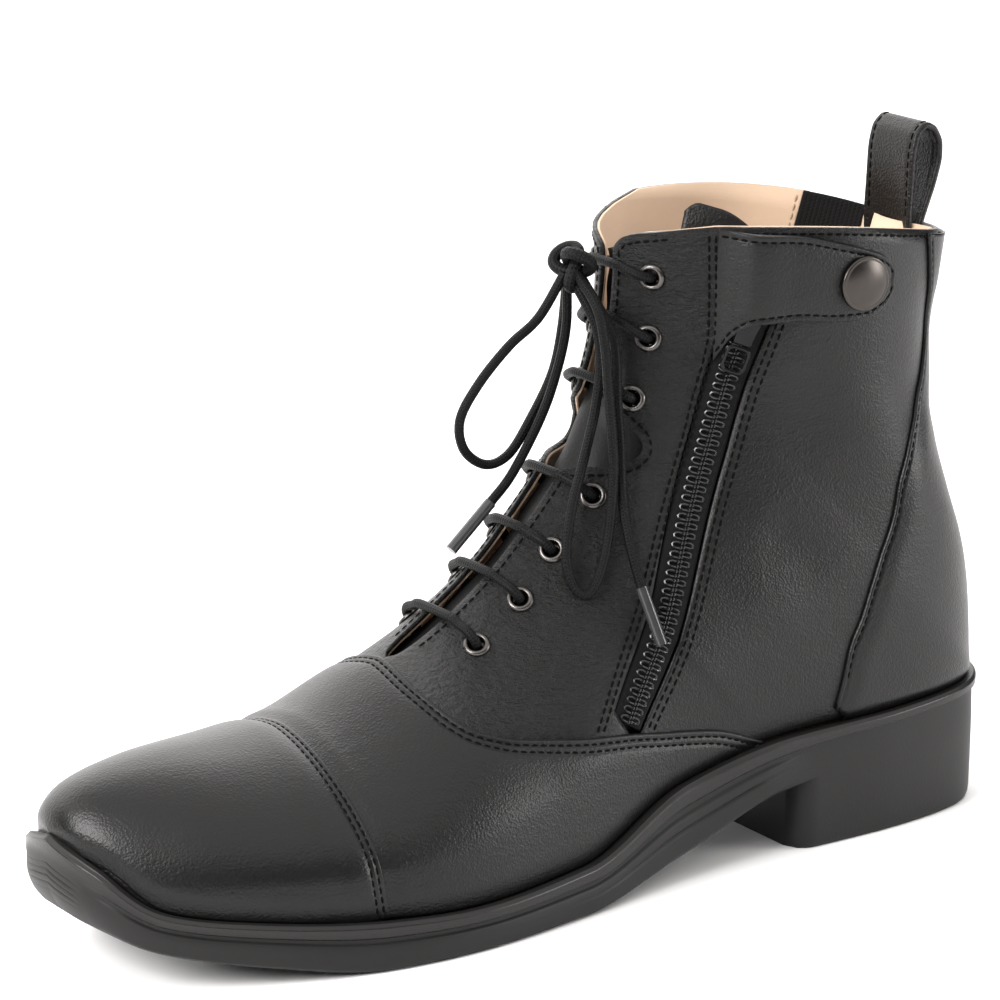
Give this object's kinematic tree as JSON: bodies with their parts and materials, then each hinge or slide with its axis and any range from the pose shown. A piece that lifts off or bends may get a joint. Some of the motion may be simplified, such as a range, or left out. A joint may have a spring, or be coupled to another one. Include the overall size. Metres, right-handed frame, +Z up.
{
  "type": "jodhpur boot",
  "caption": "Left ankle-high lace-up riding boot: hollow lasted leather upper on a heeled rubber sole, with side zip, snap strap, elastic gore and back pull loop.",
  "frame": {"origin": "middle of the boot's box on the floor it stands on, the loose bow left out", "axes": "+X from heel to toe, +Y to the wearer's left, which is the side with the zip, +Z up"},
  "size_m": [0.2918, 0.095, 0.1954],
  "materials": {
    "black_leather": "semi-gloss, fine grain",
    "tan_lining": "matt",
    "black_rubber": "satin",
    "zip_tape": "woven",
    "zip_teeth": "satin",
    "gunmetal": "polished",
    "brushed_nickel": "brushed",
    "black_metal": "satin",
    "elastic": "ribbed",
    "waxed_cord": "braided",
    "clear_tip": "gloss"
  },
  "bodies": {
    "boot": {"aglet_far": "clear_tip", "aglet_near": "clear_tip", "back_counter": "black_leather", "bow_end_far": "waxed_cord", "bow_end_near": "waxed_cord", "bow_knot": "waxed_cord", "bow_loop_far": "waxed_cord", "bow_loop_near": "waxed_cord", "elastic_gore": "elastic", "eyelet_far_1": "gunmetal", "eyelet_far_2": "gunmetal", "eyelet_far_3": "gunmetal", "eyelet_far_4": "gunmetal", "eyelet_far_5": "gunmetal", "eyelet_far_6": "gunmetal", "eyelet_far_7": "gunmetal", "eyelet_near_1": "gunmetal", "eyelet_near_2": "gunmetal", "eyelet_near_3": "gunmetal", "eyelet_near_4": "gunmetal", "eyelet_near_5": "gunmetal", "eyelet_near_6": "gunmetal", "eyelet_near_7": "gunmetal", "heel": "black_rubber", "insole": "tan_lining", "lace_bar_1": "waxed_cord", "lace_bar_2": "waxed_cord", "lace_bar_3": "waxed_cord", "lace_bar_4": "waxed_cord", "lace_bar_5": "waxed_cord", "lace_bar_6": "waxed_cord", "lace_bar_7": "waxed_cord", "outsole": "black_rubber", "pull_loop": "black_leather", "snap_cap": "brushed_nickel", "strap": "black_leather", "toe_cap": "black_leather", "tongue": "black_leather", "upper": "black_leather", "vamp": "black_leather", "zip_chain": "zip_teeth", "zip_guard": "black_leather", "zip_slider": "black_metal", "zip_tape": "zip_tape"},
    "pull_tab": {"zip_pull": "black_metal"}
  },
  "joints": [
    {"name": "pull_tab_hinge", "type": "hinge", "parent": "boot", "child": "pull_tab", "pos_m": [-0.05428, 0.0218, 0.1433], "axis": [0.8414, -0.4, 0.3633], "range_deg": [0, 90]}
  ]
}
